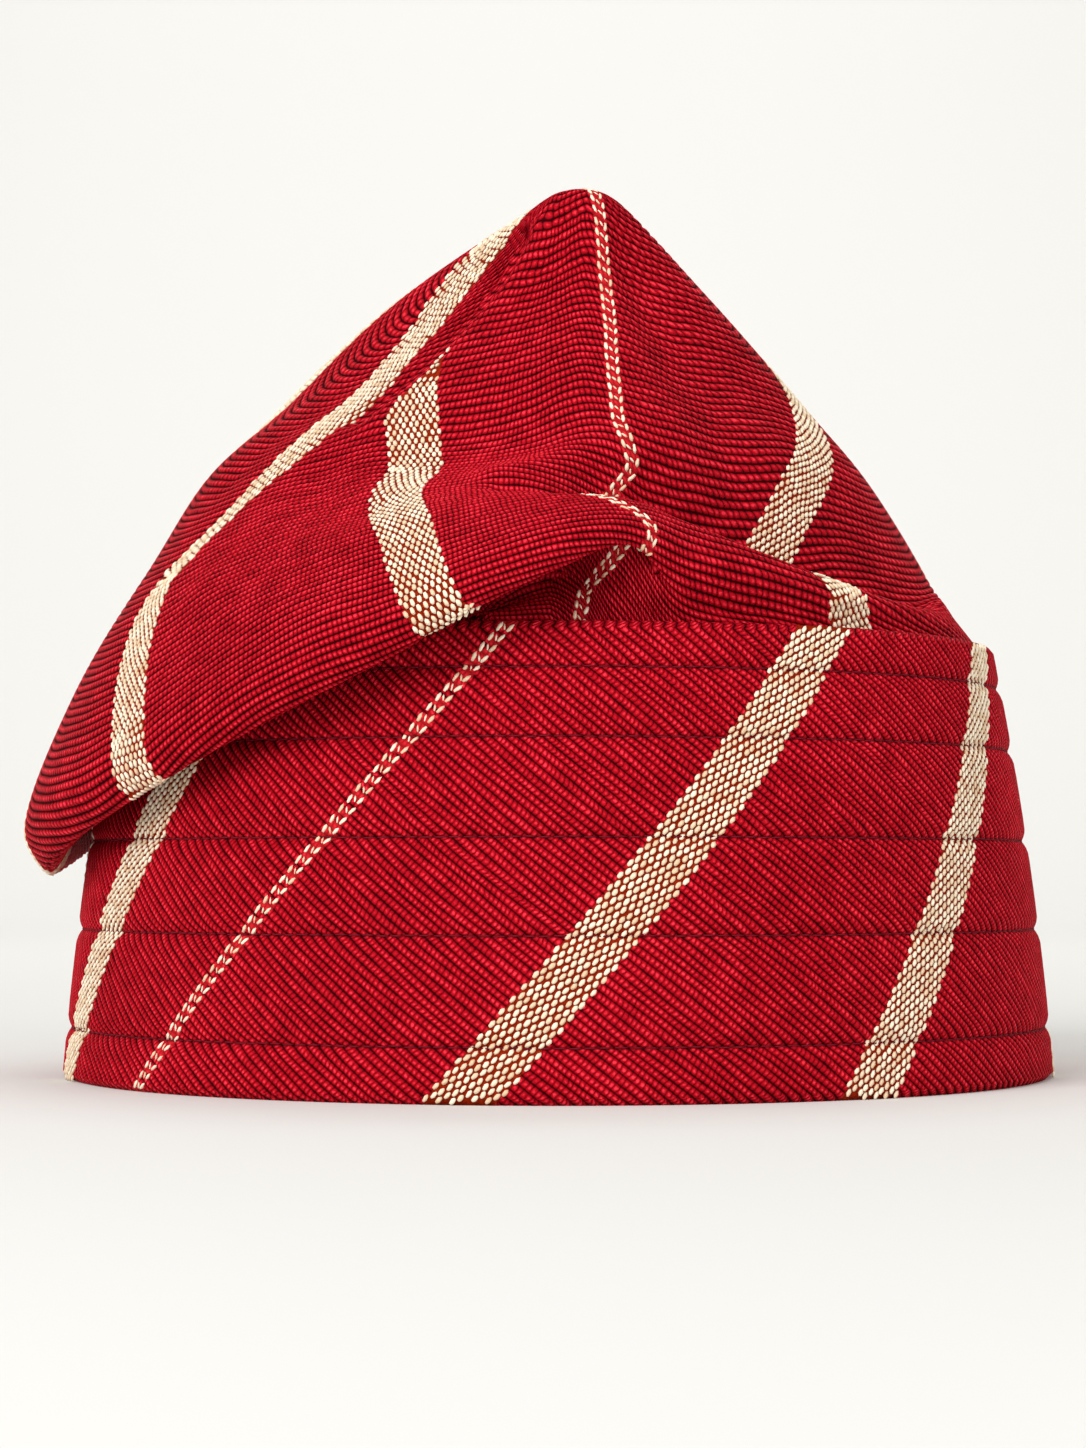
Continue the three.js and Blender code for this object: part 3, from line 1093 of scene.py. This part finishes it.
# Soft folds on the crown's face
crownFolds = [
    # mm of reach to each side, mm of lift, line of [step, azimuth]
    [4.2, 1.7, [[42, -9], [39, -3], [36, 4], [33.5, 10]]],
    [2.6, -1.6, [[45.5, -8], [45, 0], [44.5, 7], [43, 12]]],
    [5.0, -0.9, [[40, -44], [45, -36], [49, -26]]],
    [6.0, 0.8, [[56, -46], [61, -36], [64, -24]]],
    [7.0, 0.8, [[10, -20], [20, -22], [30, -20]]],
    [7.0, -0.8, [[14, 44], [22, 42], [30, 38]]],
    [6.0, -0.9, [[19, -78], [29, -72], [40, -70]]],
    [2.8, -2.2, [[8, -55], [16, -52], [24, -51], [31, -52]]],
    [3.2, 1.0, [[8, -46], [16, -45], [25, -45], [32, -46]]],
    [9.0, 1.2, [[30, 120], [48, 118], [60, 122]]],
    [9.0, -1.3, [[28, 160], [44, 164], [60, 162]]],
    [9.0, 1.2, [[30, 205], [50, 200], [62, 206]]],
    [8.0, -1.2, [[40, 240], [56, 244], [70, 246]]],
]
# A line on the crown is drawn in short steps, with its table's corners eased over a few of them, and a
# point is measured from it only within so many degrees and steps
crownLine = dict(step=0.05, easedOver=30, nearTurn=45, nearSteps=10, before=1, justInside=0.01)


# Points on the crown's mean face by azimuth and step
def onCrown(grid, azimuth, step):
    turn = np.mod(np.asarray(azimuth, float) - crown["seamAt"], fullTurn) + crown["seamAt"]
    across = np.interp(turn, grid["columns"], np.arange(len(grid["columns"])))
    first = np.interp(turn, grid["columns"], grid["firstRib"])
    lean = np.interp(turn, grid["columns"], grid["ribLean"])
    rib = np.clip(ribsAt(first, lean, step), 0, crown["ribsDown"] - crownLine["justInside"])
    down = rib * crown["rowsPerRib"]
    column = np.minimum(across.astype(int), len(grid["columns"]) - 2)
    row = down.astype(int)
    u = (across - column)[..., None]
    v = (down - row)[..., None]
    points = grid["points"]
    high = points[row, column] * (1 - u) + points[row, column + 1] * u
    low = points[row + 1, column] * (1 - u) + points[row + 1, column + 1] * u
    return high * (1 - v) + low * v


# The middle line of a stripe or a fold: step, azimuth, place and length from its start
def lineOnCrown(grid, path):
    table = sorted(path)
    steps = np.arange(table[0][0], table[-1][0], crownLine["step"])
    azimuth = byTable(table, steps)
    count = crownLine["easedOver"]
    ease = np.hanning(2 * count + 1)
    before = 2 * azimuth[0] - azimuth[count:0:-1]
    after = 2 * azimuth[-1] - azimuth[-2 : -count - 2 : -1]
    azimuth = np.convolve(np.concatenate([before, azimuth, after]), ease / ease.sum(), mode="valid")
    place = onCrown(grid, azimuth, steps)
    return dict(steps=steps, azimuth=azimuth, place=place, length=lengthsFrom(place))


# How far each point lies from a line on the crown, looking only at points on the same side of the cloth
def lineDistance(grid, path, past):
    line = lineOnCrown(grid, path)
    tree = KDTree(len(line["steps"]))
    for k, place in enumerate(line["place"]):
        tree.insert(place, k)
    tree.balance()
    steps = grid["steps"]
    middle = np.interp(steps, line["steps"], line["azimuth"])
    inReach = np.abs(signedTurn(grid["columns"][None, :] - middle)) < crownLine["nearTurn"]
    inReach &= steps > line["steps"].min() - crownLine["before"] - past
    inReach &= steps < line["steps"].max() + past
    away = np.full(steps.shape, farAway)
    for row, column in np.argwhere(inReach):
        nearest, distance = tree.find(grid["points"][row, column])[1:]
        if abs(line["steps"][nearest] - steps[row, column]) < crownLine["nearSteps"]:
            away[row, column] = distance
    return away


# How far each point of the grid lies from the nearest stripe, in mm
def crownStripeDistance(grid, stripes):
    best = np.full(grid["steps"].shape, farAway)
    for stripe in stripes:
        away = lineDistance(grid, stripe["path"], 0)
        away = away + cloth["stripeHalf"] * (1 - byTable(stripe["share"], grid["steps"]))
        if "rightOf" in stripe:
            away[:, signedTurn(grid["columns"]) < stripe["rightOf"]] = farAway
        best = np.minimum(best, away)
    return best


# Raises or sinks the crown's face along each fold
def foldCrown(grid):
    moved = np.zeros(grid["steps"].shape)
    for reach, lift, path in crownFolds:
        away = lineDistance(grid, path, 2 * reach / crown["stepPitch"])
        moved += lift * np.exp(-((away / reach) ** 2))
    grid["points"] = grid["points"] + outwardOf(grid["points"]) * moved[:, :, None]
    print("crown folds", len(crownFolds))


# A stripe's length, and its spots on the crown
def crownStripeLine(stripe, grid):
    line = lineOnCrown(grid, stripe["path"])
    yarnHalf = yarn["columns"] * yarn["acrossPitch"] / 2
    half = 0.5  # to each side, so that a difference is for one mm, degree or step

    def middleAt(way):
        azimuth = np.interp(way, line["length"], line["azimuth"])
        return azimuth, np.interp(way, line["length"], line["steps"])

    def spotAt(way, aside):
        if way > line["length"][-1]:
            return None
        azimuth, step = middleAt(way)
        if abs(aside) > yarnHalf * byTable(stripe["share"], step):
            return None
        along = onCrown(grid, *middleAt(way + half)) - onCrown(grid, *middleAt(way - half))
        perDegree = onCrown(grid, azimuth + half, step) - onCrown(grid, azimuth - half, step)
        perStep = onCrown(grid, azimuth, step + half) - onCrown(grid, azimuth, step - half)
        out = np.cross(perStep, perDegree)
        side = np.cross(out, along)
        side = side / max(np.linalg.norm(side), tiny) * aside
        metric = np.array([perDegree, perStep])
        turned, lowered = np.linalg.solve(metric @ metric.T, metric @ side)
        if "rightOf" in stripe and azimuth + turned < stripe["rightOf"]:
            return None
        return onCrown(grid, azimuth + turned, step + lowered), along, out

    return line["length"][-1], spotAt


def makeCrown(grid):
    columns = grid["columns"]
    inside = grid["inside"]
    stripe = crownStripeDistance(grid, crownStripes["wide"])
    chain = crownStripeDistance(grid, crownStripes["chain"])
    peakFade = np.clip(grid["steps"] / crown["peakFade"], 0, 1)
    footFade = np.clip((crown["ribsDown"] - grid["ribs"]) / crown["footFade"], 0, 1)
    lift = ribLift(grid["ribs"], stripe) * peakFade * footFade
    outside = grid["points"] + outwardOf(grid["points"]) * lift[:, :, None]
    points = np.concatenate([outside, inside])
    insideRibs = np.linspace(0, crown["ribsDown"], len(inside))[:, None] + 0 * columns[None, :]
    far = np.full(insideRibs.shape, farAway)

    # a few ribs share one measure along, so that their beads stand in line
    group = crown["rowsPerRib"] * crown["beadGroup"]
    faceRows = np.arange(len(points) - 1)
    measured = np.where(faceRows < grid["ribRows"] - 1, faceRows // group * group + group // 2, faceRows)
    run = alongRibs(points, columns)[measured]
    return weaveGrid(
        "crown_cloth",
        points,
        np.stack([run, run], axis=1),
        np.concatenate([grid["ribs"], insideRibs]),
        dict(stripe=np.concatenate([stripe, far]), chain=np.concatenate([chain, far])),
        redCloth("crown_cloth", crown),
        rowsRunDown=True,
    )


makeCamera()
makeLights()
makeFloor()
bandPiece = makeBand()
bandYarnPiece = layStripes("band_cream_yarn", bandStripes, bandStripeLine)
stitchPiece = bandStitches()
crownShape = crownGrid()
foldCrown(crownShape)
crownPiece = makeCrown(crownShape)
crownYarnPiece = layStripes("crown_cream_yarn", crownStripes, crownStripeLine, crownShape)

for piece, node in ((bandPiece, "band"), (crownPiece, "crown")):
    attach(piece, "root")
    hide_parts(node)
onCloth = ((bandYarnPiece, "band_cloth"), (stitchPiece, "band_cloth"), (crownYarnPiece, "crown_cloth"))
for piece, slot in onCloth:
    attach(piece, "root")
